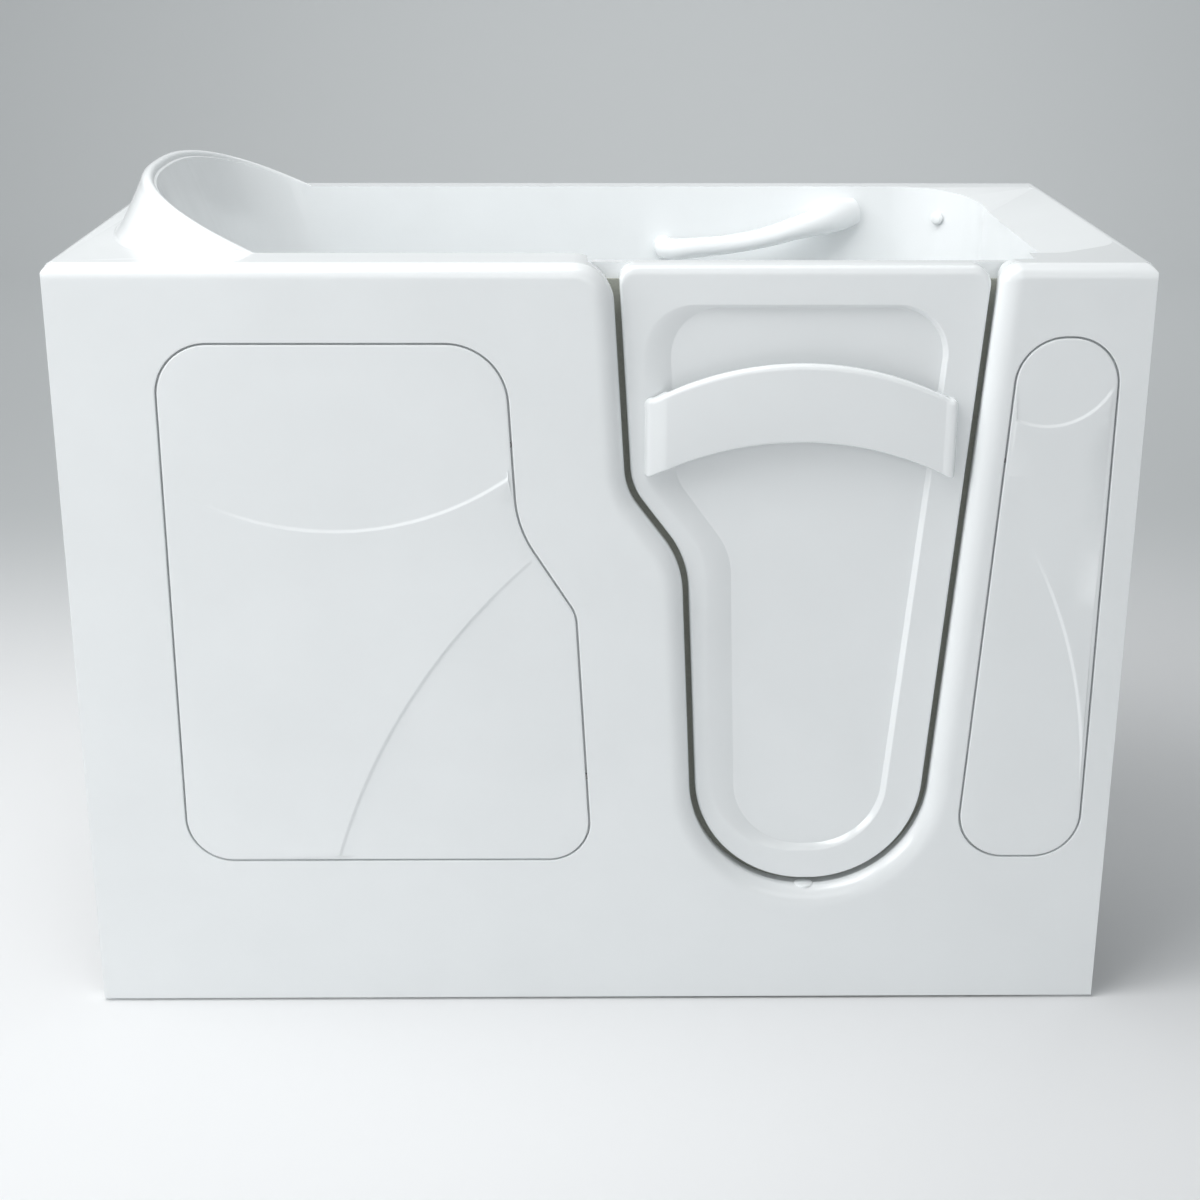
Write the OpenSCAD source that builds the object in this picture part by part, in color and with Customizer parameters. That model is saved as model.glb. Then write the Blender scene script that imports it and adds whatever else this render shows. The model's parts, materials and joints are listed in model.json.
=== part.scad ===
// Walk-in bathtub with an inward-opening door, a moulded seat and a raised backrest rim.
// Inside the modules X runs from the left end, Y back from the front face and Z up from
// the floor. in_place() then moves the origin to the middle of the footprint.

/* [Tub] */
// Length of the deck
tub_length = 1346; // [1320:1:1400]
// Depth from the front face to the back of the deck
tub_width = 700; // [690:1:740]
// Height of the deck above the floor
deck_height = 1005; // [990:1:1040]
// Thickness of the moulded walls
shell_wall = 6; // [5:0.5:7]
// Radius of the rolled edge along the front and round the doorway
edge_roll = 18; // [14:1:20]
// Radius of the deck's end and back edges
deck_round = 12; // [8:1:14]
// Drop of the deck's turned-down lip
lip_drop = 50; // [40:1:60]
// Width of the deck strip that belongs to the apron
apron_depth = 24; // [22:1:26]
// Gap between the apron and the floor
floor_gap = 4; // [3:1:8]

/* [Basin] */
// Front deck, from the front face to the basin
front_deck = 83; // [81:1:90]
// Back deck, from the basin to the back edge
back_deck = 45; // [44:1:55]
// Deck at the foot end, from the basin to the right end
foot_deck = 109; // [105:1:115]
// Height of the seat above the floor
seat_height = 570; // [550:1:590]
// Front edge of the seat, from the left end
seat_edge = 735; // [715:1:740]
// Height of the footwell floor
well_floor = 115; // [112:1:124]
// Lean of the backrest from upright, in degrees
recline = 21; // [19:0.1:22]
// Foot of the backrest, from the left end
backrest_foot = 281; // [275:1:290]
// Depth of the backrest's hollow, front to crown
backrest_hollow = 149; // [140:1:155]
// Radius of the basin's back corner at the foot end
back_corner = 125; // [110:1:130]
// Radius of the basin's front corner at the foot end
front_corner = 60; // [50:1:65]
// Radius of the footwell's corners under the seat edge
well_corner = 40; // [30:1:50]

/* [Raised rim] */
// Where the raised rim meets the deck, from the left end
rim_end = 246; // [240:1:250]
// Rise of the rim towards the left, in degrees
rim_slope = 25.6; // [23:0.1:27]
// Width of the rim's lip
rim_lip = 17; // [15:1:19]
// Deck left bare between the rim's foot and the edge
rim_margin = 27; // [25:1:32]
// Depth of the sunken ledge at the foot end, at its low edge
ledge_depth = 15; // [10:1:17]

/* [Doorway and door] */
// Middle of the doorway's foot, from the right end
door_from_right = 398; // [396:1:402]
// Height of the threshold
threshold = 162; // [160:1:166]
// Radius of the doorway's two lower corners
doorway_round = 158; // [150:1:159]
// Depth of the doorway, from the front face to the seal face
frame_depth = 42; // [40:1:43]
// Gap all round the door's raised face
door_gap = 13; // [12:1:15]
// How far the door's face lies behind the front face
door_setback = 20; // [19:1:22]
// Radius of the door face's edge
face_round = 6; // [4:1:9]
// Drop of the door's top edge below the deck
door_drop = 5; // [4:1:8]
// Lap of the door's flange over the doorway
flange_lap = 22; // [20:1:24]
// Thickness of the door's flange
flange_thickness = 12; // [11:1:13]
// Clearance between the flange and the pocket round it
pocket_gap = 5; // [4:1:6]
// Thickness of the door seal between the frame and the flange
seal_thickness = 6; // [5:0.5:7]
// Depth of the sunken panel in the door
panel_sink = 6; // [4:0.5:7]
// Standoff of the band handle from the door face
band_stand = 19; // [16:1:19]
// Thickness of the band handle's wall
band_wall = 9; // [8:1:10]

/* [Hinges and latch] */
// Height of the lower hinge
lower_hinge_height = 345; // [330:1:370]
// How far the upper hinge's middle is below the deck
upper_hinge_below_deck = 145; // [125:1:165]
// Distance from the doorway's middle to the hinge axis
hinge_reach = 242; // [241:1:243]
// Radius of a hinge barrel
barrel_radius = 7.5; // [7:0.1:7.6]
// Radius of a hinge pin
pin_radius = 4; // [3:0.5:4.5]
// Length of a hinge
hinge_length = 90; // [70:1:100]
// How far the latch spindle is below the deck
latch_below_deck = 215; // [205:1:225]
// Distance from the doorway's middle to the latch spindle
latch_reach = 238; // [236:1:240]
// Radius of the latch spindle
spindle_radius = 6; // [5:0.5:7]
// Length of the latch lever
lever_length = 110; // [90:1:120]
// Reach of the latch cam
cam_length = 70; // [66:1:72]
// Clearance between a pin and its bore
running_gap = 0.05; // [0.02:0.01:0.1]

/* [Access panels] */
// Gap round each access panel
panel_gap = 2.5; // [2:0.5:3]
// Thickness of the access panels and the apron
apron_wall = 5; // [4:0.5:5]
// Width of the ledge behind each access panel
ledge_width = 12; // [10:1:14]
// Radius of a panel magnet
magnet_radius = 4; // [3:0.5:4.5]

/* [Waste] */
// Drain centre, from the right end
drain_from_right = 181; // [178:1:184]
// Drain centre, from the front face
drain_back = 500; // [490:1:505]
// Outer radius of the drain's tail
drain_tail_radius = 21.5; // [20:0.5:22]
// Radius of the waste and overflow pipes
pipe_radius = 16; // [14:0.5:16]
// Wall of the pipes
pipe_wall = 3; // [2:0.5:4]
// How far the middle of the overflow cover is below the deck
overflow_below_deck = 43; // [40:1:55]
// Bearing of the overflow round the back corner, in degrees
overflow_bearing = 53; // [51:1:55]

/* [Frame] */
// Side of the square steel tubes
tube_size = 25; // [22:1:25]
// Wall of the steel tubes
tube_wall = 2; // [1.5:0.5:3]
// Underside of the bottom rails
rail_height = 72; // [66:1:74]
// Thickness of the floor and seat boards
board_thickness = 12; // [9:1:12]
// Radius of a levelling foot's pad
pad_radius = 18; // [15:1:18]
// Radius of a levelling foot's stud
stud_radius = 5; // [4:0.5:6]

/* [Hidden] */
upper_hinge_height = deck_height - upper_hinge_below_deck;
latch_height = deck_height - latch_below_deck;
overflow_height = deck_height - overflow_below_deck;
$fn = 48;

gelcoat = "white";
steel = "silver";
arc_step = 6;
eps = 1;
seat_gap = 0.3;

door_x = tub_length - door_from_right;
door_top = deck_height - door_drop;
// The doorway, band and grab bar keep their places between the seat and the deck
upper = (deck_height - seat_height) / 435;
function above_seat(rise) = seat_height + rise * upper;
inner_back = tub_width - back_deck;
basin_mid = (front_deck + inner_back) / 2;
basin_half = (inner_back - front_deck) / 2;
basin_right = tub_length - foot_deck;
flange_front = frame_depth + seal_thickness;
flange_back = flange_front + flange_thickness;
hinge_x = door_x + hinge_reach;
hinge_y = flange_back + barrel_radius + 0.5;
flange_right = hinge_x - 10;
pocket_right = hinge_x + 14;
leaf_screw_y = hinge_y - 7;
hinge_heights = [lower_hinge_height, upper_hinge_height];
knuckle = hinge_length / 3;
latch_x = door_x - latch_reach;
cam_front = front_deck + 3;
lever_front = cam_front + 5.5;
rail_top = rail_height + tube_size;
front_rail_y = 30;
back_rail_y = tub_width - shell_wall - 2 - tube_size;
drain_x = tub_length - drain_from_right;
left_lean = tan(3.67);
right_lean = tan(4.16);

module in_place() translate([-tub_length / 2, -tub_width / 2, 0]) children();

// ---- Outlines: lists of corners [x, z, radius], anticlockwise seen from the front ----

function at(list, i) = list[(i + len(list)) % len(list)];
function xy(p) = [p[0], p[1]];
function left_of(a, b) = let (d = b - a) [-d[1], d[0]] / norm(d);
function reversed(list) = [for (i = [len(list) - 1 : -1 : 0]) list[i]];

// Moves every side inwards by d and keeps the rounds concentric
function inset(corners, d) = [for (i = [0 : len(corners) - 1])
    let (a = xy(at(corners, i - 1)), b = xy(corners[i]), c = xy(at(corners, i + 1)),
         m = left_of(a, b), n = left_of(b, c), p = b + d * (m + n) / (1 + m * n),
         r = corners[i][2])
    [p[0], p[1], r == 0 ? 0 : max(0.5, r - d * sign(cross(b - a, c - b)))]];

// Points of one corner, as an arc where it has a radius
function corner_points(a, b, c, r) =
    let (u = (b - a) / norm(b - a), v = (c - b) / norm(c - b),
         turn = sign(cross(u, v)), angle = acos(u * v), steps = max(2, round(angle / arc_step)),
         side = turn * r * [-u[1], u[0]], centre = b - u * r * tan(angle / 2) + side)
    r <= 0 ? [b] : [for (k = [0 : steps]) let (t = turn * angle * k / steps)
        centre - [side[0] * cos(t) - side[1] * sin(t), side[0] * sin(t) + side[1] * cos(t)]];

function rounded(corners) = [for (i = [0 : len(corners) - 1])
    each corner_points(xy(at(corners, i - 1)), xy(corners[i]), xy(at(corners, i + 1)),
                       corners[i][2])];

function at_depth(points, y) = [for (p = points) [p[0], y, p[1]]];

// Points of an arc over the chord from [x0, z] to [x1, z], with its crown `rise` above it
function arch(x0, x1, z, rise, pieces = 12) =
    let (half = (x1 - x0) / 2, r = (half * half + rise * rise) / (2 * rise), a = asin(half / r))
    [for (k = [0 : pieces]) let (t = -a + 2 * a * k / pieces)
        [(x0 + x1) / 2 + r * sin(t), z + rise - r + r * cos(t)]];

// A plate with its outline in X and Z, from depth y0 to y1
module plate(points, y0, y1)
    translate([0, y1, 0]) rotate([90, 0, 0]) linear_extrude(y1 - y0) polygon(points);

// A block between two corners
module block(low, high) translate(low) cube(high - low);

// A closed solid through rings of points; each ring runs anticlockwise seen from the first.
// A last ring that isn't flat is closed in strips between its two mirrored halves
module loft(rings, strips = false) {
    n = len(rings[0]);
    last = len(rings) - 1;
    m = floor(n / 2);
    polyhedron(
        points = [for (ring = rings) each ring],
        faces = concat(
            [for (k = [0 : last - 1], i = [0 : n - 1])
                let (j = (i + 1) % n)
                [k * n + i, k * n + j, (k + 1) * n + j, (k + 1) * n + i]],
            [[for (i = [n - 1 : -1 : 0]) i]],
            strips ? concat([for (i = [0 : m - 2])
                                [for (k = [i, i + 1, n - 2 - i, n - 1 - i]) last * n + k]],
                            [[for (k = [m - 1, m, m + 1]) last * n + k]])
                   : [[for (i = [0 : n - 1]) last * n + i]]));
}

// A closed band through rings of points; its section is the polygon [d, y] in `profile`
module band(rings) {
    n = len(rings[0]);
    m = len(rings);
    polyhedron(
        points = [for (ring = rings) each ring],
        faces = [for (k = [0 : m - 1], i = [0 : n - 1])
            let (j = (i + 1) % n, l = (k + 1) % m)
            [k * n + i, k * n + j, l * n + j, l * n + i]]);
}

// Section of what a rolled edge of this radius loses: [inset, depth] pairs, a little proud
function roll_profile(radius) = let (c = radius * (1 - cos(67.5)), s = radius * (1 - sin(67.5)),
    q = radius * (1 - sin(45)))
    [[-1, -0.2], [-1, radius + (radius - c) / s], [s, c], [q, q], [c, s],
     [radius + 0.2 * (radius - c) / s, -0.2]];

// A round bar along Y or X, from `start`
module bar_y(start, radius, length) translate(start) rotate([-90, 0, 0]) cylinder(length, r = radius);
module bar_x(start, radius, length) translate(start) rotate([0, 90, 0]) cylinder(length, r = radius);

// ---- The doorway and the outlines that follow it ----

function doorway_left(z) = door_x - 246 - left_lean * (z - above_seat(148));
function doorway_right(z) = door_x + 151 + right_lean * (z - threshold);
function doorway(top, left_round = 0, right_round = 0) = [
    [doorway_left(top), top, left_round],
    [door_x - 246, above_seat(148), 88],
    [door_x - 174, above_seat(52), 118],
    [door_x - 152, threshold, doorway_round],
    [door_x + 151, threshold, doorway_round],
    [doorway_right(top), top, right_round]];
flare_left = 48;
flare_right = 20;

// The doorway with its upper corners rolled out into the deck, up to height `top`
function flared(top, grow) = let (c = inset(doorway(deck_height, flare_left, flare_right), 0),
    l = doorway_left(deck_height), r = doorway_right(deck_height))
    inset(concat([[l - flare_left, top - grow, 0], [l - flare_left, deck_height, 0]],
                 [for (p = c) p],
                 [[r + flare_right, deck_height, 0], [r + flare_right, top - grow, 0]]), -grow);

function door_face(d) = inset(doorway(door_top + door_gap, 30, 33), door_gap + d);

// The door's flange or, grown, the pocket round it
function leaf(top, grow, right) = let (
    lap = flange_lap + grow, c = inset(doorway(top - lap), -lap))
    [c[0], c[1], c[2], c[3], [right, c[4][1], 130], [right, c[5][1], 0]];

sunken_panel = [
    [door_x - 193, door_top - 52, 60], [door_x - 181, above_seat(160), 60],
    [door_x - 110, above_seat(62), 90], [door_x - 96, threshold + 59, 92],
    [door_x + 92, threshold + 59, 92], [door_x + 153, door_top - 52, 60]];

// ---- The basin, and the same form grown by the thickness of its wall ----

function well_outline(d, x0) = rounded([
    [x0 - d, front_deck - d, 0], [basin_right + d, front_deck - d, front_corner + d],
    [basin_right + d, inner_back + d, back_corner + d], [x0 - d, inner_back + d, 0]]);

function footwell_outline(d) = rounded([
    [seat_edge - d, front_deck - d, well_corner + d],
    [basin_right + d, front_deck - d, front_corner + d],
    [basin_right + d, inner_back + d, back_corner + d],
    [seat_edge - d, inner_back + d, well_corner + d]]);

// Across and along parts of a rounded-off oval, fuller at its corners than an ellipse
fullness = 2.5;
function oval_x(t) = sign(cos(t)) * pow(abs(cos(t)), 2 / fullness);
function oval_y(t) = sign(sin(t)) * pow(abs(sin(t)), 2 / fullness);
oval_turns = [90, 92, 94, 97, for (t = [100 : 4 : 260]) t, 263, 266, 268, 270];

// The leaning backrest, its hollow half an oval, with sides that run on past the foot end
module backrest_form(d) {
    a = backrest_hollow * cos(recline) + d;
    b = basin_half + d;
    translate([backrest_foot + backrest_hollow, basin_mid, seat_height])
        rotate([0, -recline, 0]) translate([0, 0, -600])
            linear_extrude(1500)
                polygon(concat([for (t = oval_turns) [a * oval_x(t), b * oval_y(t)]],
                               [[tub_length, -b], [tub_length, b]]));
}

module basin_form(d, top) {
    intersection() {
        backrest_form(d);
        translate([0, 0, seat_height - d])
            linear_extrude(top - seat_height + d) polygon(well_outline(d, -tub_length));
    }
    translate([0, 0, well_floor - d])
        linear_extrude(seat_height - well_floor + eps) polygon(footwell_outline(d));
}

// Deck with rolled end and back edges, shrunk by d for its hollow underside
module deck_form(d) {
    r = d > 0 ? 1.5 : deck_round;
    ends = rounded([[d, deck_height - lip_drop - d, 0],
        [tub_length - d, deck_height - lip_drop - d, 0],
        [tub_length - d, deck_height - d, r], [d, deck_height - d, r]]);
    sides = rounded([[apron_depth - d, deck_height - lip_drop - d, 0],
        [tub_width - d, deck_height - lip_drop - d, 0],
        [tub_width - d, deck_height - d, r], [apron_depth - d, deck_height - d, 0]]);
    intersection() {
        plate(ends, 0, tub_width + eps);
        rotate([90, 0, 90]) linear_extrude(tub_length + eps) polygon(sides);
    }
}

// The rim's line, where the backrest's hollow meets the sloping top of the mound
rim_rise = tan(rim_slope);
rim_lean = tan(recline);
rim_taper = 1 - rim_lean * rim_rise;
rim_middle = (backrest_foot + backrest_hollow - rim_lean * (deck_height - seat_height)
    - rim_lean * rim_rise * rim_end) / rim_taper;
rim_reach = backrest_hollow / rim_taper;
function rim_point(t, off) = [rim_middle + (rim_reach + off) * oval_x(t),
    basin_mid + (basin_half + off) * oval_y(t)];
function rim_top(t) = deck_height + rim_rise * (rim_end - rim_middle - rim_reach * oval_x(t));

// The mound's foot on the deck, shrunk by d; its back stays on the narrow back deck
function foot_point(t, d) = [rim_end - 2 + (rim_end - 2 - rim_margin - d) * oval_x(t),
    basin_mid + oval_y(t) * (sin(t) > 0 ? tub_width - rim_margin / 2 - basin_mid - d
                                        : basin_mid - rim_margin + 2 - d)];

// The lip is widest at the head end and narrows along both sides
function lip(t) = rim_lip * (0.32 + 0.68 * pow(abs(cos(t)), 0.8));

// One ring of the mound: g runs from foot to lip, h is its share of the height there
function wall_ring(g, h, thin, drop, d, base) = [for (t = reversed(oval_turns))
    let (p = foot_point(t, d), q = rim_point(t, lip(t) - thin),
        top = max(base + 1, rim_top(t) - drop * lip(t)))
    concat(p + g * (q - p), base + 0.02 * g + h * (top - base))];
function lip_ring(share, drop, base) = [for (t = reversed(oval_turns))
    concat(rim_point(t, share * lip(t)),
           max(base + 1 + 0.2 * (1 - share), rim_top(t) - drop * lip(t)))];

// The mound that carries the raised rim: a flared wall and a rounded lip
module rim_mound(base) loft(concat(
    [for (k = [[0, 0], [0.18, 0.06], [0.4, 0.26], [0.62, 0.52], [0.82, 0.77], [0.94, 0.93], [1, 1]])
        wall_ring(k[0], k[1], 0, 0.6, 0, base)],
    [for (k = [[0.94, 0.38], [0.82, 0.2], [0.66, 0.08], [0.48, 0.01], [0.33, 0], [0.19, 0.04],
               [0.08, 0.14], [0.01, 0.28], [-0.04, 0.5]])
        lip_ring(k[0], k[1], base)]), strips = true);

// The hollow under the mound, beside the backrest's wall
module rim_hollow(base) loft([for (k = [[0, 0], [0.4, 0.26], [0.82, 0.77], [1, 1]])
    wall_ring(k[0], k[1], shell_wall, 1, shell_wall + 3, base)], strips = true);

module ledge_outline(d) polygon(rounded([
    [basin_right - 80, front_deck + 0.5 - d, 0], [basin_right + 10, front_deck + 0.5 - d, 30],
    [tub_length - 16 + d, front_deck + 66, 60], [tub_length - 14 + d, tub_width - 12 + d, 70],
    [basin_right - 80, tub_width - 12 + d, 0]]));

module ledge_pad() intersection() {
    translate([0, 0, deck_height - ledge_depth - shell_wall - 4])
        linear_extrude(ledge_depth + 4) ledge_outline(4);
    deck_form(0);
}

// The ledge falls towards the basin and fades out towards the back
module ledge_cut() intersection() {
    translate([0, 0, deck_height - ledge_depth - 20]) linear_extrude(70) ledge_outline(0);
    translate([tub_length - 16, 0, deck_height])
        rotate([0, -atan(ledge_depth / (foot_deck - 16)), 0])
            translate([-400, 0, 0]) cube([400, tub_width + 10, 60]);
    translate([0, inner_back - 8, deck_height]) rotate([atan(ledge_depth / ledge_fade), 0, 0])
        translate([0, -tub_width, 0]) cube([tub_length, tub_width, 60]);
}
ledge_fade = 150;

function overflow_centre() = [basin_right - back_corner, inner_back - back_corner];
// Things on the overflow's axis, measured out from the middle of the back corner's round
module on_overflow_axis() translate(concat(overflow_centre(), overflow_height))
    rotate([0, 0, overflow_bearing]) rotate([0, 90, 0]) children();

grab_foot_left = [door_x - 171, above_seat(345.5)];
grab_foot_right = [door_x + 83, above_seat(390)];
grab_feet = [grab_foot_left, grab_foot_right];
grab_screw = 4;
cap_stem = 3.6;
cap_y = 28;
leaf_screw = 2.5;
leaf_screw_offsets = [-0.37, 0.37];
keeper_size = [38, 34];
keeper_left = latch_x - 88;
keeper_screw_offsets = [-11, 11];

module tub_shell() color(gelcoat) in_place() difference() {
    union() {
        difference() {
            deck_form(0);
            deck_form(shell_wall);
        }
        intersection() {
            basin_form(shell_wall, deck_height - 1);
            block([0, apron_depth, 0], [tub_length, tub_width, deck_height - 1]);
        }
        rim_mound(deck_height - 1.5);
        ledge_pad();
        intersection() {
            plate(rounded(leaf(deck_height + 60, pocket_gap + shell_wall,
                               pocket_right + shell_wall)), apron_depth, front_deck);
            block([0, 0, 0], [tub_length, tub_width, deck_height - 1]);
        }
        intersection() {
            plate(rounded(flared(deck_height + 100, shell_wall)), apron_depth, front_deck);
            block([0, 0, 0], [tub_length, tub_width, deck_height - 1]);
        }
    }
    basin_form(0, deck_height + 200);
    rim_void();
    ledge_cut();
    plate(rounded(flared(deck_height + 100, 0)), 0, front_deck + eps);
    plate(rounded(leaf(deck_height + 60, pocket_gap, pocket_right)), frame_depth, front_deck + eps);
    translate([drain_x, drain_back, 0]) cylinder(well_floor + eps, r = drain_tail_radius + 0.5);
    on_overflow_axis() cylinder(back_corner + 60, r = 6.1);
    for (foot = grab_feet)
        bar_y([foot[0], inner_back - eps, foot[1]], grab_screw + 0.2, shell_wall + 2 * eps);
    for (h = hinge_heights, k = leaf_screw_offsets)
        bar_x([pocket_right - eps, leaf_screw_y, h + k * hinge_length], leaf_screw + 0.1,
              shell_wall + 2 * eps);
    for (k = keeper_screw_offsets)
        bar_y([keeper_left + 18, front_deck - shell_wall - eps, latch_height + k], 2.1,
              shell_wall + 2 * eps);
    translate([door_x, cap_y, threshold - 12]) cylinder(20, r = cap_stem + running_gap);
}

// Opens the space under the rim's mound to the underside of the deck
module rim_void() difference() {
    rim_hollow(deck_height - 14);
    basin_form(shell_wall, deck_height + 200);
}

// ---- Apron and its access panels ----

end_round = 14;
function apron_corners(side, bottom) = concat(
    [[-side, bottom, 0], [tub_length + side, bottom, 0],
     [tub_length + side, deck_height, end_round]],
    reversed(doorway(deck_height, flare_left, flare_right)),
    [[-side, deck_height, end_round]]);
function apron_ring(d, y) =
    at_depth(rounded(inset(apron_corners(0.85 * d, floor_gap - 60), d)), y);

left_panel = [[130, deck_height - 98, 64], [130, threshold + 51, 60],
    [door_x - 287, threshold + 51, 52], [door_x - 307, seat_height - 12, 45],
    [door_x - 381, above_seat(104), 70], [door_x - 394, deck_height - 98, 76]];
right_panel = [[tub_length - 160.6, deck_height - 90, 59], [tub_length - 200, threshold + 54, 60],
    [tub_length - 39, threshold + 54, 60], [tub_length - 39, deck_height - 90, 59]];
left_magnets = [[136, 780], [136, 330], [door_x - 389, 780], [door_x - 294, 330]];
right_magnets = [[tub_length - 173, 760], [tub_length - 189, 330], [tub_length - 45, 330],
    [tub_length - 45, 760]];

panels = [left_panel, right_panel];

module magnet_holes(places) for (p = places)
    bar_y([p[0], apron_wall - eps, p[1]], magnet_radius + running_gap, 6);

module front_apron() color(gelcoat) in_place() difference() {
    plate(rounded(apron_corners(0, floor_gap)), 0, apron_depth);
    band([for (p = roll_profile(edge_roll)) apron_ring(p[0], p[1])]);
    difference() {
        plate(rounded(inset(apron_corners(0, floor_gap - 40), edge_roll + 2)), apron_wall, 12);
        for (panel = panels)
            plate(rounded(inset(panel, -10)), apron_wall - eps, apron_wall + 3);
    }
    plate(rounded(inset(apron_corners(0, floor_gap - 40), shell_wall + 1)), 10, apron_depth + eps);
    for (panel = panels) {
        plate(rounded(inset(panel, -panel_gap)), -eps, apron_wall);
        plate(rounded(inset(panel, ledge_width)), -2 * eps, apron_wall + 3 + eps);
    }
    magnet_holes(left_magnets);
    magnet_holes(right_magnets);
}

// A shallow groove along part of a circle in the front face
module crease(x, z, radius) difference() {
    bar_y([x, -eps, z], radius + 0.8, eps + 0.8);
    bar_y([x, -2 * eps, z], radius - 0.8, 4 * eps);
}

module left_access_panel() color(gelcoat) in_place() difference() {
    plate(rounded(left_panel), 0, apron_wall - seat_gap);
    crease(340, seat_height + 479, 379, $fn = 96);
    crease(1186, -30, 892, $fn = 160);
}

module right_access_panel() color(gelcoat) in_place() difference() {
    plate(rounded(right_panel), 0, apron_wall - seat_gap);
    crease(tub_length - 122, seat_height + 322, 87);
}

module magnets(places) color("dimgray") in_place() for (p = places)
    bar_y([p[0], apron_wall, p[1]], magnet_radius, 3);

module left_panel_magnets() magnets(left_magnets);
module right_panel_magnets() magnets(right_magnets);

// ---- Door ----

band_left = door_x - 221;
band_right = door_x + 168;
band_top = above_seat(267);
band_bottom = above_seat(169);
band_outline = concat(reversed(arch(band_left + 12, band_right - 10, band_top, 45)),
    [[band_left, band_top - 6], [band_left + 6, band_bottom]],
    arch(band_left + 14, band_right - 12, band_bottom, 44),
    [[band_right - 5, band_bottom], [band_right, band_top - 4]]);
band_front = door_setback - band_stand;
band_ends = [band_left + 13, band_right - 13];
band_screw_heights = [band_bottom + 22, band_top - 22];
band_screw = 3;

module door_outer_skin() color(gelcoat) in_place() difference() {
    plate(rounded(door_face(0)), door_setback, flange_front);
    band([for (p = roll_profile(face_round)) at_depth(rounded(door_face(p[0])), door_setback + p[1])]);
    loft([at_depth(rounded(inset(sunken_panel, -1)), door_setback - 1),
        at_depth(rounded(inset(sunken_panel, panel_sink)), door_setback + panel_sink)]);
    plate(rounded(door_face(4)), door_setback + 10, flange_front + eps);
    for (x = band_ends, z = band_screw_heights)
        bar_y([x, door_setback - eps, z], band_screw + 0.2, 12);
}

module door_core() color("khaki") in_place() difference() {
    plate(rounded(door_face(4 + seat_gap)), door_setback + 10 + seat_gap, flange_front - seat_gap);
    for (x = band_ends, z = band_screw_heights)
        bar_y([x, door_setback, z], 7, 16);
}

module door_inner_skin() color(gelcoat) in_place() difference() {
    plate(rounded(leaf(door_top, 0, flange_right)), flange_front, flange_back);
    for (h = hinge_heights, k = leaf_screw_offsets)
        bar_y([hinge_x - 50, flange_back - 10, h + k * hinge_length], leaf_screw + 0.1, 12);
    for (k = [-1, 1])
        bar_y([latch_x + k * 19, flange_back - 8, latch_height], 2.1, 10);
}

module door_seal() color("dimgray") in_place() difference() {
    plate(rounded(inset(doorway(deck_height + 60), -12)), frame_depth + seat_gap, flange_front);
    plate(rounded(inset(doorway(deck_height + 90), door_gap - 1.5)), 0, flange_back);
    block([0, 0, door_top - 20], [tub_length, tub_width, deck_height + 100]);
}

module band_handle() color(gelcoat) in_place() difference() {
    plate(band_outline, band_front, door_setback);
    block([band_left + 28, band_front + band_wall, band_bottom - 40],
          [band_right - 28, door_setback + eps, band_top + 80]);
    for (x = band_ends, z = band_screw_heights)
        bar_y([x, door_setback - 10, z], band_screw + running_gap, 20);
}

module band_handle_screws() color(steel) in_place()
    for (x = band_ends, z = band_screw_heights) {
        bar_y([x, door_setback - 9, z], band_screw, 20);
        bar_y([x, door_setback + 10, z], 5.5, 3);
    }

// ---- Hinges ----

module barrel(h, low, high) translate([hinge_x, hinge_y, h + low])
    cylinder(high - low, r = barrel_radius);

module hinge_frame_leaf(h) color(steel) in_place() difference() {
    union() {
        block([pocket_right - 3, hinge_y - 17, h - hinge_length / 2],
              [pocket_right, hinge_y + 13, h + hinge_length / 2]);
        for (low = [-1.5 * knuckle, 0.5 * knuckle + 0.25]) {
            barrel(h, low, low + knuckle - 0.25);
            block([hinge_x, hinge_y - 2, h + low], [pocket_right - 2, hinge_y + 2, h + low + knuckle - 0.25]);
        }
    }
    translate([hinge_x, hinge_y, h - hinge_length]) cylinder(2 * hinge_length, r = pin_radius + running_gap);
    for (k = leaf_screw_offsets)
        bar_x([pocket_right - 10, leaf_screw_y, h + k * hinge_length], leaf_screw + 0.1, 20);
}

module hinge_door_leaf(h) color(steel) in_place() difference() {
    union() {
        block([hinge_x - 66, flange_back, h - hinge_length / 2],
              [flange_right, flange_back + 3.5, h + hinge_length / 2]);
        block([flange_right - 1, flange_back, h - knuckle / 2],
              [hinge_x, flange_back + 3.5, h + knuckle / 2]);
        barrel(h, -knuckle / 2, knuckle / 2);
    }
    translate([hinge_x, hinge_y, h - hinge_length]) cylinder(2 * hinge_length, r = pin_radius + running_gap);
    for (k = leaf_screw_offsets)
        bar_y([hinge_x - 50, flange_back - eps, h + k * hinge_length], leaf_screw + 0.1, 10);
}

module hinge_pin(h) color(steel) in_place() translate([hinge_x, hinge_y, h]) {
    translate([0, 0, -hinge_length / 2 - 2]) cylinder(hinge_length + 3, r = pin_radius);
    translate([0, 0, hinge_length / 2 + 0.3]) cylinder(3, r = pin_radius + 2);
}

module lower_hinge_frame_leaf() hinge_frame_leaf(lower_hinge_height);
module upper_hinge_frame_leaf() hinge_frame_leaf(upper_hinge_height);
module lower_hinge_door_leaf() hinge_door_leaf(lower_hinge_height);
module upper_hinge_door_leaf() hinge_door_leaf(upper_hinge_height);
module lower_hinge_pin() hinge_pin(lower_hinge_height);
module upper_hinge_pin() hinge_pin(upper_hinge_height);

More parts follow.
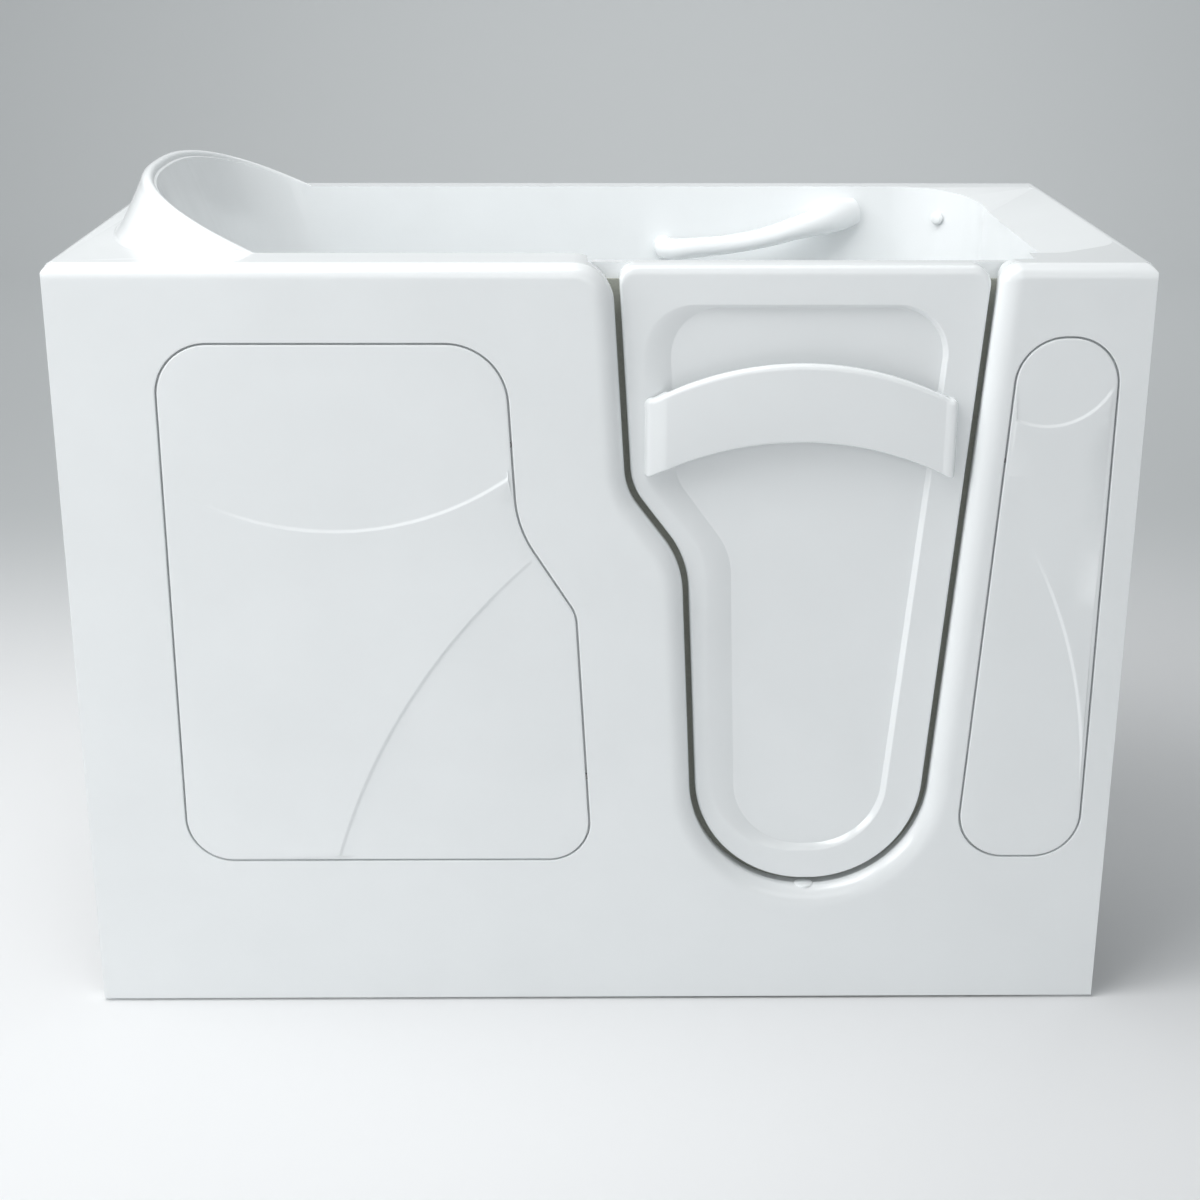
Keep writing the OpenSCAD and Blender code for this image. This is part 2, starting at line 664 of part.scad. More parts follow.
module hinge_frame_screws() color(steel) in_place()
    for (h = hinge_heights, k = leaf_screw_offsets)
        translate([0, leaf_screw_y, h + k * hinge_length]) {
            bar_x([pocket_right - 4, 0, 0], leaf_screw, shell_wall + 10);
            bar_x([pocket_right - 5.2, 0, 0], 4.2, 2);
            bar_x([pocket_right + shell_wall, 0, 0], 5, 4);
        }

module hinge_door_screws() color(steel) in_place()
    for (h = hinge_heights, k = leaf_screw_offsets)
        translate([hinge_x - 50, 0, h + k * hinge_length]) {
            bar_y([0, flange_back - 9, 0], leaf_screw, 13);
            bar_y([0, flange_back + 3.5, 0], 4.5, 2);
        }

// ---- Latch ----

module latch_housing() color(steel) in_place() difference() {
    union() {
        bar_y([latch_x, flange_back, latch_height], 26, 4);
        bar_y([latch_x, flange_back + 1, latch_height], 14, cam_front - flange_back - 1.5);
    }
    bar_y([latch_x, flange_back - eps, latch_height], spindle_radius + running_gap, 40);
    for (k = [-1, 1])
        bar_y([latch_x + k * 19, flange_back - eps, latch_height], 2.1, 10);
}

module latch_spindle() color(steel) in_place()
    bar_y([latch_x, flange_back + 0.5, latch_height], spindle_radius, lever_front + 9 - flange_back);

module latch_cam() color(steel) in_place() difference() {
    union() {
        bar_y([latch_x, cam_front, latch_height], 13, 5);
        block([latch_x - 9, cam_front, latch_height], [latch_x + 9, cam_front + 5, latch_height + cam_length - 9]);
        bar_y([latch_x, cam_front, latch_height + cam_length - 9], 9, 5);
    }
    bar_y([latch_x, cam_front - eps, latch_height], spindle_radius + running_gap, 10);
}

module latch_lever() color(steel) in_place() difference() {
    union() {
        bar_y([latch_x, lever_front, latch_height], 14, 10);
        translate([0, lever_front + 9, 0]) rotate([90, 0, 0]) linear_extrude(7) polygon([
            [latch_x - 11, latch_height], [latch_x - 8, latch_height - lever_length + 8],
            [latch_x + 8, latch_height - lever_length + 8], [latch_x + 11, latch_height]]);
        bar_y([latch_x, lever_front + 2, latch_height - lever_length + 8], 8.5, 7);
    }
    bar_y([latch_x, lever_front - eps, latch_height], spindle_radius + running_gap, 20);
}

module latch_cap() color(steel) in_place()
    bar_y([latch_x, lever_front + 10, latch_height], 9, 2.5);

module latch_housing_screws() color(steel) in_place()
    for (k = [-1, 1]) {
        bar_y([latch_x + k * 19, flange_back - 7, latch_height], 2, 11);
        bar_y([latch_x + k * 19, flange_back + 4, latch_height], 3.6, 2);
    }

module latch_keeper() color(steel) in_place() difference() {
    union() {
        block([keeper_left, front_deck, latch_height - keeper_size[1] / 2 - 4],
              [keeper_left + keeper_size[0], front_deck + 2.5, latch_height + keeper_size[1] / 2]);
        block([keeper_left, front_deck, latch_height - keeper_size[1] / 2],
              [keeper_left + 4, lever_front + 3, latch_height + keeper_size[1] / 2]);
        block([keeper_left, lever_front, latch_height - keeper_size[1] / 2],
              [keeper_left + 34, lever_front + 3, latch_height + keeper_size[1] / 2 - 2]);
        block([keeper_left, front_deck, latch_height - keeper_size[1] / 2 - 4],
              [keeper_left + 34, lever_front + 3, latch_height - keeper_size[1] / 2]);
    }
    for (k = keeper_screw_offsets)
        bar_y([keeper_left + 18, front_deck - eps, latch_height + k], 2.1, 4);
}

module keeper_screws() color(steel) in_place()
    for (k = keeper_screw_offsets) {
        bar_y([keeper_left + 18, front_deck - shell_wall - 6, latch_height + k], 2, shell_wall + 8);
        bar_y([keeper_left + 18, front_deck - shell_wall - 3.2, latch_height + k], 4, 3);
    }

// ---- Small fittings ----

module threshold_cap() color(gelcoat) in_place() translate([door_x, cap_y, threshold]) {
    translate([0, 0, 0.8]) cylinder(2.5, r = 13);
    translate([0, 0, -10]) cylinder(11, r = cap_stem);
}

// The grab bar's centre line, from its right foot over the grip to its left foot
grab_line = [
    [grab_foot_right[0], inner_back, grab_foot_right[1], 21],
    [grab_foot_right[0], inner_back - 12, grab_foot_right[1], 21],
    [door_x + 54, inner_back - 32, above_seat(386), 19.5],
    [door_x + 18, inner_back - 42, above_seat(377), 16.8],
    [door_x - 18, inner_back - 45, above_seat(366), 14.8],
    [door_x - 70, inner_back - 45, above_seat(356), 14],
    [door_x - 126, inner_back - 44, above_seat(350), 14.8],
    [door_x - 156, inner_back - 38, above_seat(347), 15.6],
    [grab_foot_left[0], inner_back - 17, grab_foot_left[1], 16],
    [grab_foot_left[0], inner_back, grab_foot_left[1], 16]];

function spline(p, i, t) = let (a = p[max(i - 1, 0)], b = p[i], c = p[i + 1],
    d = p[min(i + 2, len(p) - 1)])
    0.5 * ((2 * b) + (c - a) * t + (2 * a - 5 * b + 4 * c - d) * t * t
        + (3 * b - a - 3 * c + d) * t * t * t);

// Rings of a round bar along a centre line of [x, y, z, radius]
function bar_rings(line, steps = 3, sides = 14) = let (
    stops = concat([for (i = [0 : len(line) - 2], k = [0 : steps - 1]) spline(line, i, k / steps)],
                   [line[len(line) - 1]]),
    n = len(stops))
    [for (i = [0 : n - 1])
        let (p = stops[i], a = stops[max(i - 1, 0)], b = stops[min(i + 1, n - 1)],
             way = [b[0] - a[0], b[1] - a[1], b[2] - a[2]],
             ahead = i == 0 || i == n - 1 ? [0, sign(way[1]), 0] : way / norm(way),
             up = cross(ahead, [1, 0, 0.4]),
             u = cross(up, ahead) / norm(cross(up, ahead)), v = cross(ahead, u))
        [for (k = [0 : sides - 1]) let (t = -360 * k / sides)
            [p[0], p[1], p[2]] + p[3] * (cos(t) * u + sin(t) * v)]];

module grab_bar() color(gelcoat) in_place() difference() {
    loft(bar_rings(grab_line));
    block([grab_foot_left[0] - 40, inner_back, threshold], [tub_length, tub_width, deck_height]);
    for (foot = grab_feet)
        bar_y([foot[0], inner_back - 16, foot[1]], grab_screw + running_gap, 20);
}

module grab_bar_plates() color(steel) in_place() for (foot = grab_feet) difference() {
    block([foot[0] - 22, inner_back + shell_wall, foot[1] - 13.5],
          [foot[0] + 22, inner_back + shell_wall + 3, foot[1] + 13.5]);
    bar_y([foot[0], inner_back, foot[1]], grab_screw + 0.2, 20);
}

module grab_bar_screws() color(steel) in_place() for (foot = grab_feet) {
    bar_y([foot[0], inner_back - 14, foot[1]], grab_screw, shell_wall + 18);
    bar_y([foot[0], inner_back + shell_wall + 3, foot[1]], 7, 5);
}

// ---- Overflow and drain ----

riser_radius = back_corner + shell_wall + pipe_radius + 3;
riser_x = overflow_centre()[0] + riser_radius * cos(overflow_bearing);
riser_y = overflow_centre()[1] + riser_radius * sin(overflow_bearing);
link_height = 52;
link_bearing = atan2(drain_back - riser_y, drain_x - riser_x);
link_length = norm([drain_x - riser_x, drain_back - riser_y]);
tee_radius = drain_tail_radius + 5.5;

module overflow_cover() color("white") in_place() on_overflow_axis() {
    translate([0, 0, back_corner - 6.5]) cylinder(4.5, r = 9);
    translate([0, 0, back_corner - 3]) cylinder(shell_wall + 8, r = 6);
}

module overflow_elbow() color("whitesmoke") in_place() difference() {
    union() {
        on_overflow_axis() translate([0, 0, back_corner + shell_wall])
            cylinder(8, r = 10);
        translate([riser_x, riser_y, overflow_height - 40]) cylinder(56, r = pipe_radius + 2.5);
    }
    translate([riser_x, riser_y, overflow_height - 41]) cylinder(26, r = pipe_radius + running_gap);
    translate([riser_x, riser_y, overflow_height - 16]) cylinder(27, r = pipe_radius - pipe_wall);
    on_overflow_axis() translate([0, 0, back_corner]) cylinder(20, r = 6 + running_gap);
}

module overflow_pipe() color("whitesmoke") in_place() difference() {
    union() {
        translate([riser_x, riser_y, link_height]) cylinder(overflow_height - 17 - link_height, r = pipe_radius);
        translate([riser_x, riser_y, link_height]) sphere(pipe_radius + 1);
        translate([riser_x, riser_y, link_height]) rotate([0, 90, link_bearing])
            cylinder(link_length - tee_radius - 0.5, r = pipe_radius);
    }
    translate([riser_x, riser_y, link_height]) cylinder(overflow_height, r = pipe_radius - pipe_wall);
    translate([riser_x, riser_y, link_height]) rotate([0, 90, link_bearing])
        cylinder(link_length, r = pipe_radius - pipe_wall - 0.5);
}

module drain_flange() color(steel) in_place() translate([drain_x, drain_back, 0]) difference() {
    union() {
        translate([0, 0, well_floor]) cylinder(3, r = 38);
        translate([0, 0, link_height + 24]) cylinder(well_floor + 1 - link_height - 24, r = drain_tail_radius);
    }
    difference() {
        translate([0, 0, link_height]) cylinder(80, r = drain_tail_radius - 3);
        translate([-30, -3, well_floor - 12]) cube([60, 6, 6]);
        translate([0, 0, well_floor - 12]) cylinder(6, r = 8);
    }
    cylinder(200, r = 4 + running_gap);
}

module drain_stopper() color(steel) in_place() translate([drain_x, drain_back, 0]) {
    translate([0, 0, well_floor + 3.3]) cylinder(3, r = 24);
    translate([0, 0, well_floor - 22]) cylinder(26, r = 4);
}

module drain_nut() color("whitesmoke") in_place() translate([drain_x, drain_back, 0]) difference() {
    translate([0, 0, well_floor - shell_wall - 8]) cylinder(8, r = 34, $fn = 6);
    cylinder(200, r = drain_tail_radius + 0.3);
}

module drain_tee() color("whitesmoke") in_place() translate([drain_x, drain_back, 0]) difference() {
    union() {
        translate([0, 0, 36]) cylinder(well_floor - shell_wall - 8.5 - 36, r = tee_radius);
        translate([0, 0, 10]) cylinder(30, r = 20);
    }
    translate([0, 0, link_height + 23.5]) cylinder(80, r = drain_tail_radius + running_gap);
    translate([0, 0, 0]) cylinder(100, r = pipe_radius);
    rotate([0, 90, link_bearing + 180]) translate([-link_height, 0, 0])
        cylinder(60, r = pipe_radius - pipe_wall);
}

// ---- Steel frame, boards and feet ----

left_x = 62;
right_x = tub_length - 62 - tube_size;
trestle_left_x = 400;
trestle_right_x = seat_edge - shell_wall - 14 - tube_size;
foot_places = [[left_x + tube_size / 2, front_rail_y + tube_size / 2],
    [right_x + tube_size / 2, front_rail_y + tube_size / 2],
    [left_x + tube_size / 2, back_rail_y + tube_size / 2],
    [right_x + tube_size / 2, back_rail_y + tube_size / 2]];
cross_xs = [left_x, trestle_left_x, trestle_right_x, seat_edge, door_x, right_x];
deck_underside = deck_height - shell_wall;
seat_underside = seat_height - shell_wall;

// A square tube between two corners, hollow along one axis
module tube(low, high, axis) difference() {
    block(low, high);
    block(low + [axis == 0 ? -eps : tube_wall, axis == 1 ? -eps : tube_wall, axis == 2 ? -eps : tube_wall],
          high - [axis == 0 ? -eps : tube_wall, axis == 1 ? -eps : tube_wall, axis == 2 ? -eps : tube_wall]);
}

module rail(y) color(steel) in_place() difference() {
    tube([left_x - 22, y, rail_height], [tub_length - 40, y + tube_size, rail_top], 0);
    for (p = foot_places)
        translate([p[0], y + tube_size / 2, rail_height - eps])
            cylinder(tube_wall + 2 * eps, r = stud_radius + running_gap);
}

module front_rail() rail(front_rail_y);
module back_rail() rail(back_rail_y);

module cross_members() color(steel) in_place() for (x = cross_xs)
    tube([x, front_rail_y + tube_size, rail_height], [x + tube_size, back_rail_y, rail_top], 1);

module posts(xs, y) color(steel) in_place() for (x = xs)
    tube([x, y, rail_top], [x + tube_size, y + tube_size, deck_underside], 2);

module front_posts() posts([left_x, doorway_left(deck_height) - flare_left - 60, right_x + 12], front_rail_y);
module back_posts() posts([left_x, trestle_right_x, right_x - 150], back_rail_y);

module seat_trestle(x) color(steel) in_place() {
    top = seat_underside - board_thickness - tube_size;
    for (y = [front_deck + 20, inner_back - 20 - tube_size])
        tube([x, y, rail_top], [x + tube_size, y + tube_size, top], 2);
    tube([x, front_deck + 20, top], [x + tube_size, inner_back - 20, top + tube_size], 1);
}

module left_seat_trestle() seat_trestle(trestle_left_x);
module right_seat_trestle() seat_trestle(trestle_right_x);

module seat_board() color("burlywood") in_place()
    block([backrest_foot + 40, front_deck + 10, seat_underside - board_thickness],
          [seat_edge - shell_wall - 3, inner_back - 10, seat_underside]);

module floor_board() color("burlywood") in_place() difference() {
    block([trestle_right_x + tube_size + 8, front_rail_y + tube_size + 5, rail_top],
          [right_x + tube_size, riser_y - pipe_radius - 12, well_floor - shell_wall]);
    translate([drain_x, drain_back, 0]) cylinder(200, r = 40);
}

module apron_spacers() color("burlywood") in_place()
    for (x = [250, trestle_right_x, basin_right])
        block([x - 25, apron_wall, rail_height + 2], [x + 25, front_rail_y, rail_top - 2]);

module levelling_foot(i) color(steel) in_place() translate(concat(foot_places[i], 0)) {
    cylinder(9, r = pad_radius);
    translate([0, 0, 8]) cylinder(6, r = 9);
    translate([0, 0, 12]) cylinder(rail_height, r = stud_radius);
}

module front_left_foot() levelling_foot(0);
module front_right_foot() levelling_foot(1);
module back_left_foot() levelling_foot(2);
module back_right_foot() levelling_foot(3);

module foot_lock_nuts() color(steel) in_place() for (p = foot_places)
    translate([p[0], p[1], rail_height - 7]) difference() {
        cylinder(7, r = 9, $fn = 6);
        translate([0, 0, -eps]) cylinder(10, r = stud_radius + running_gap);
    }

tub_shell();
front_apron();
left_access_panel();
right_access_panel();
left_panel_magnets();
right_panel_magnets();
door_outer_skin();
door_core();
door_inner_skin();
door_seal();
band_handle();
band_handle_screws();
lower_hinge_frame_leaf();
lower_hinge_door_leaf();
lower_hinge_pin();
upper_hinge_frame_leaf();
upper_hinge_door_leaf();
upper_hinge_pin();
hinge_frame_screws();
hinge_door_screws();
latch_housing();
latch_spindle();
latch_cam();
latch_lever();
latch_cap();
latch_housing_screws();
latch_keeper();
keeper_screws();
threshold_cap();
grab_bar();
grab_bar_plates();
grab_bar_screws();
overflow_cover();
overflow_elbow();
overflow_pipe();
drain_flange();
drain_stopper();
drain_nut();
drain_tee();
front_rail();
back_rail();
cross_members();
front_posts();
back_posts();
left_seat_trestle();
right_seat_trestle();
seat_board();
floor_board();
apron_spacers();
front_left_foot();
front_right_foot();
back_left_foot();
back_right_foot();
foot_lock_nuts();
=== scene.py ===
"""Looks of a walk-in bathtub: moulded white gelcoat, a door with a band handle, and its fittings."""
import json
import math

import bmesh
import bpy
from mathutils import Matrix, Vector
from mathutils.geometry import delaunay_2d_cdt, tessellate_polygon


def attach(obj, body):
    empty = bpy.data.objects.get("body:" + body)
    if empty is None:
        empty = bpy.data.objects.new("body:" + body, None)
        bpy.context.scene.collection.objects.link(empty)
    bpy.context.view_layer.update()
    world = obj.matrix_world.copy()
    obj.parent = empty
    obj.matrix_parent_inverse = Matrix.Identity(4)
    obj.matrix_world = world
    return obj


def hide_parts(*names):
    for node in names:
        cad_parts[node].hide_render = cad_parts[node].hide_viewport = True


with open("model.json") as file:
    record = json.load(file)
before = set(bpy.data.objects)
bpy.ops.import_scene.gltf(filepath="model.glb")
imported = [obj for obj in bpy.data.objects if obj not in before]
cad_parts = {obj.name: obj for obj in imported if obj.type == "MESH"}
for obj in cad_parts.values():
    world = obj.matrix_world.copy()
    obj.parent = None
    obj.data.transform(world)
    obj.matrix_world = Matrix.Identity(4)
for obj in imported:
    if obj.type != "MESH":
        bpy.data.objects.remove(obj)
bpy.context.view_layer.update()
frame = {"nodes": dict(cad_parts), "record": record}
MM = 0.001
SLOT = {row["node"]: row["material_slot"] for row in frame["record"]["subparts"]}


# ---- Colours and materials ----

def linear(hex_code):
    """sRGB hex colour as a linear RGBA value."""
    channels = [int(hex_code[i:i + 2], 16) / 255 for i in (1, 3, 5)]
    return [c / 12.92 if c <= 0.04045 else ((c + 0.055) / 1.055) ** 2.4 for c in channels] + [1.0]


def add(tree, kind, settings=None, inputs=None):
    """Adds one shader node; inputs are values, or (node, output name) pairs to link."""
    node = tree.nodes.new(kind)
    for name, value in (settings or {}).items():
        setattr(node, name, value)
    for name, value in (inputs or {}).items():
        if isinstance(value, tuple) and isinstance(value[0], bpy.types.Node):
            tree.links.new(value[0].outputs[value[1]], node.inputs[name])
        else:
            node.inputs[name].default_value = value
    return node


def new_material(name, shader_values):
    """A material whose constant values sit on its shader's own sockets."""
    material = bpy.data.materials.new(name)
    material.use_nodes = True
    tree = material.node_tree
    shader = tree.nodes["Principled BSDF"]
    for socket, value in shader_values.items():
        shader.inputs[socket].default_value = value
    return material, tree, shader


def gelcoat(name, tint, shade, roughness, coat):
    """Glossy moulded gelcoat: a clear hard skin over white resin, faintly wavy from the mould."""
    cloud_mm, wave_mm, wave_height_mm = 160, 25, 0.06
    material, tree, shader = new_material(name, {
        "Roughness": roughness, "IOR": 1.5, "Coat Weight": coat, "Coat Roughness": 0.06, "Coat IOR": 1.5})
    place = add(tree, "ShaderNodeTexCoord")
    cloud = add(tree, "ShaderNodeTexNoise", None, {
        "Vector": (place, "Object"), "Scale": 1000 / cloud_mm, "Detail": 2.0, "Roughness": 0.5})
    ramp = add(tree, "ShaderNodeValToRGB", None, {"Fac": (cloud, "Fac")})
    low, high = ramp.color_ramp.elements
    low.position, low.color, high.position, high.color = 0.3, linear(shade), 0.7, linear(tint)
    tree.links.new(ramp.outputs["Color"], shader.inputs["Base Color"])
    wave = add(tree, "ShaderNodeTexNoise", None, {
        "Vector": (place, "Object"), "Scale": 1000 / wave_mm, "Detail": 1.0, "Roughness": 0.4})
    bump = add(tree, "ShaderNodeBump", None, {
        "Height": (wave, "Fac"), "Strength": 0.25, "Distance": wave_height_mm * MM})
    tree.links.new(bump.outputs["Normal"], shader.inputs["Normal"])
    return material


def flecked(name, tint, shade, crest_mm, roughness, metallic=0.0, bump_mm=0.02, stretch=(1, 1, 1)):
    """A surface with flecks `crest_mm` apart, drawn out into lines where one axis is stretched."""
    material, tree, shader = new_material(name, {"Roughness": roughness, "Metallic": metallic})
    place = add(tree, "ShaderNodeTexCoord")
    spread = add(tree, "ShaderNodeMapping", None, {"Vector": (place, "Object"), "Scale": stretch})
    grain = add(tree, "ShaderNodeTexNoise", None, {
        "Vector": (spread, "Vector"), "Scale": 1000 / crest_mm, "Detail": 4.0, "Roughness": 0.6})
    ramp = add(tree, "ShaderNodeValToRGB", None, {"Fac": (grain, "Fac")})
    low, high = ramp.color_ramp.elements
    low.position, low.color, high.position, high.color = 0.35, linear(shade), 0.65, linear(tint)
    tree.links.new(ramp.outputs["Color"], shader.inputs["Base Color"])
    bump = add(tree, "ShaderNodeBump", None, {
        "Height": (grain, "Fac"), "Strength": 0.5, "Distance": bump_mm * MM})
    tree.links.new(bump.outputs["Normal"], shader.inputs["Normal"])
    return material


FINISH = {
    # sprayed into a polished mould: bright cool white under a clear skin, with soft highlights
    "gelcoat": gelcoat("white_gelcoat_moulded", "#f6f9fa", "#f3f6f7", 0.2, 0.5),
    # soft rubber, matt and slightly dusty
    "seal_rubber": flecked("seal_rubber_extruded", "#a6a89f", "#9c9e94", 4, 0.6, bump_mm=0.05),
    # rigid urethane foam with fine open cells
    "door_foam": flecked("urethane_foam_cast", "#d8c99c", "#c4b382", 3, 0.9, bump_mm=0.3),
    # satin stainless steel, brushed along its length; the lines are coarser than real, to show
    "stainless": flecked("stainless_steel_brushed", "#c9c9c6", "#b1b1ae", 1.2, 0.3, 1.0, 0.01,
                         (1, 1, 0.06)),
    # bright chrome plating with only the faintest haze
    "chrome": flecked("brass_chrome_plated", "#dcdde0", "#d5d6d9", 30, 0.07, 1.0, 0.002),
    # sanded plywood, matt, its grain running along the tub
    "timber": flecked("plywood_sanded", "#c2a376", "#a8875a", 9, 0.7, bump_mm=0.15,
                      stretch=(0.08, 1, 1)),
    # powder coat with a fine orange-peel skin
    "frame_steel": flecked("steel_tube_powder_coated", "#8b8f92", "#83878a", 2.5, 0.45, 0.0, 0.04),
    # bright zinc plate, slightly mottled
    "zinc_steel": flecked("steel_zinc_plated", "#bcbdb6", "#a6a79f", 6, 0.35, 1.0, 0.01),
    # moulded pipe plastic with a satin skin
    "pipe_plastic": flecked("pvc_pipe_moulded", "#e4e4df", "#dcdcd6", 12, 0.4, bump_mm=0.02),
    # nickel plate on pressed magnets: dull silver
    "magnet": flecked("magnet_nickel_plated", "#9a9a98", "#8a8a88", 5, 0.3, 1.0, 0.01)}


# ---- Shading ----

# the angles, in degrees, above which an edge stays crisp
SOLID_SPLIT, MOULDED_SPLIT, ROUND_SPLIT, BAR_SPLIT = 32, 35, 50, 60
SOLID_WELD, PIECE_WELD = 0.00002, 0.000004


def keep_edges(piece, split_degrees):
    """Shades a mesh smooth, apart from its edges that are sharper than an angle."""
    for polygon in piece.data.polygons:
        polygon.use_smooth = True
    split = piece.modifiers.new("split", "EDGE_SPLIT")
    split.split_angle = math.radians(split_degrees)


def level_flats(piece):
    """Lets the largest faces at a point set its shading, so that flat areas stay even."""
    flats = piece.modifiers.new("flats", "WEIGHTED_NORMAL")
    flats.mode, flats.weight = "FACE_AREA", 80


def dress(piece, finish):
    """Gives a solid its finish and rounds the shading of its facets."""
    piece.data.materials.clear()
    piece.data.materials.append(finish)
    weld = piece.modifiers.new("weld", "WELD")
    weld.merge_threshold = SOLID_WELD
    keep_edges(piece, SOLID_SPLIT)
    level_flats(piece)


for node_name, slot_name in SLOT.items():
    dress(frame["nodes"][node_name], FINISH[slot_name])


# ---- Outlines, in the tub's own millimetres: X from its left end, Y back from its front, Z up ----

LENGTH, WIDTH, DECK, SILL, FLOOR_GAP = 1346.0, 700.0, 1005.0, 162.0, 4.0
DOOR_X, DOOR_TOP, DOOR_FACE, INNER_WALL = 948.0, 1000.0, 20.0, 655.0
LEFT_LEAN, RIGHT_LEAN = math.tan(math.radians(3.67)), math.tan(math.radians(4.16))
ARC_STEP_DEGREES = 3.0


def placed(x, y, z):
    """A point in the shared frame, in metres."""
    return ((x - LENGTH / 2) * MM, (y - WIDTH / 2) * MM, z * MM)


def turns(step_degrees, count):
    """The first angles from 0 on, a step apart, in radians."""
    return [math.radians(step_degrees * k) for k in range(count)]


def corner_frames(corners):
    """For each (x, z, radius) corner: its point, its radius, the ways in and out, and its turn."""
    for i, (x, z, radius) in enumerate(corners):
        before, here = Vector(corners[i - 1][:2]), Vector((x, z))
        after = Vector(corners[(i + 1) % len(corners)][:2])
        way_in, way_out = (here - before).normalized(), (after - here).normalized()
        yield here, radius, way_in, way_out, math.copysign(1, way_in.cross(way_out))


def inset(corners, d):
    """Moves every side of an outline inwards by d and keeps its round corners concentric."""
    moved = []
    for here, radius, way_in, way_out, turn in corner_frames(corners):
        m, n = Vector((-way_in.y, way_in.x)), Vector((-way_out.y, way_out.x))
        p = here + d * (m + n) / (1 + m.dot(n))
        moved.append((p.x, p.y, 0 if radius == 0 else max(0.5, radius - d * turn)))
    return moved


def arc_steps(corners):
    """How many pieces the arc in each corner has."""
    return [max(2, round(math.degrees(way_in.angle(way_out)) / ARC_STEP_DEGREES))
            for _, _, way_in, way_out, _ in corner_frames(corners)]


def rounded(corners, steps):
    """Points along an outline, with an arc in each corner that has a radius."""
    points = []
    for (here, radius, way_in, way_out, turn), count in zip(corner_frames(corners), steps):
        if radius <= 0:
            points.append((here.x, here.y))
            continue
        angle = way_in.angle(way_out)
        side = turn * radius * Vector((-way_in.y, way_in.x))
        centre = here - way_in * radius * math.tan(angle / 2) + side
        for k in range(count + 1):
            t = turn * angle * k / count
            points.append((centre.x - side.x * math.cos(t) + side.y * math.sin(t),
                           centre.y - side.x * math.sin(t) - side.y * math.cos(t)))
    return points


def doorway(top, left_round, right_round):
    """The doorway, from its top left corner by its waist, hip and foot to its top right corner."""
    waist_x, waist_z, foot_x = DOOR_X - 246, 718, DOOR_X + 151
    return [(waist_x - LEFT_LEAN * (top - waist_z), top, left_round), (waist_x, waist_z, 88),
            (DOOR_X - 174, 622, 118), (DOOR_X - 152, SILL, 158), (foot_x, SILL, 158),
            (foot_x + RIGHT_LEAN * (top - SILL), top, right_round)]


def quarter_round(radius, depth, pieces):
    """(inset, depth) steps of a rolled edge, from its side to its front."""
    return [(radius * (1 - math.cos(a)), depth * (1 - math.sin(a)))
            for a in [math.radians(90 * k / pieces) for k in range(pieces + 1)]]


# ---- Mesh building ----

MICROMETRE_DIGITS = 6


def cut_off_below(work, height):
    """Cuts a mesh off at a height and closes the cut.

    The cut leaves its points a hair out of plane, which shows as streaks on thin triangles. So
    all points are brought back to whole micrometres in depth and height.
    """
    everything = work.verts[:] + work.edges[:] + work.faces[:]
    cut = bmesh.ops.bisect_plane(work, geom=everything, clear_outer=True,
                                 plane_co=(0, 0, height * MM), plane_no=(0, 0, -1))["geom_cut"]
    rim = [part for part in cut if isinstance(part, bmesh.types.BMEdge)]
    bmesh.ops.triangle_fill(work, edges=rim)
    for point in work.verts:
        point.co.y = round(point.co.y, MICROMETRE_DIGITS)
        point.co.z = round(point.co.z, MICROMETRE_DIGITS)


class Moulding:
    """Rings of points and the faces between them, gathered into one piece."""

    def __init__(self):
        self.points, self.faces = [], []

    def ring(self, spots):
        """Adds points and says which they are."""
        start = len(self.points)
        self.points += [placed(*spot) for spot in spots]
        return list(range(start, len(self.points)))

    def outline(self, points, y):
        """A ring that lies flat at depth y."""
        return self.ring([(x, y, z) for x, z in points])

    def run(self, rings):
        """Joins each ring to the next."""
        for a, b in zip(rings, rings[1:]):
            for i in range(len(a)):
                j = (i + 1) % len(a)
                self.faces.append((a[i], a[j], b[j], b[i]))
        return rings

    def closed_run(self, rings):
        """Joins each ring to the next and closes the first and the last."""
        self.run(rings)
        self.faces += [tuple(rings[0]), tuple(rings[-1])]

    def fill(self, *rings):
        """Closes the flat area inside the first ring and outside the others."""
        order = [i for ring in rings for i in ring]
        loops = [[Vector((self.points[i][0], self.points[i][2], 0)) for i in ring] for ring in rings]
        self.faces += [tuple(order[k] for k in triangle) for triangle in tessellate_polygon(loops)]

    def piece(self, name, node, body, split_degrees=MOULDED_SPLIT, cut_below=None):
        """The finished piece, which stands in for a node and rides on its body."""
        mesh = bpy.data.meshes.new(name)
        mesh.from_pydata(self.points, [], self.faces)
        work = bmesh.new()
        work.from_mesh(mesh)
        bmesh.ops.remove_doubles(work, verts=work.verts, dist=PIECE_WELD)
        if cut_below is not None:
            cut_off_below(work, cut_below)
        bmesh.ops.recalc_face_normals(work, faces=work.faces)
        work.to_mesh(mesh)
        work.free()
        mesh.materials.append(FINISH[SLOT[node]])
        made = bpy.data.objects.new(name, mesh)
        bpy.context.scene.collection.objects.link(made)
        keep_edges(made, split_degrees)
        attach(made, body)
        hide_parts(node)
        return made


# ---- Front apron ----

LEFT_PANEL = [(130, 907, 64), (130, 213, 60), (661, 213, 52), (641, 558, 45), (567, 674, 150),
              (554, 907, 76)]
RIGHT_PANEL = [(LENGTH - 160.6, 915, 59), (LENGTH - 200, 216, 60), (LENGTH - 39, 216, 60),
               (LENGTH - 39, 915, 59)]
APRON_DEPTH, ROLL_WIDTH, ROLL_DEPTH, ROLL_OVERHANG = 24, 26, 18, 2.5
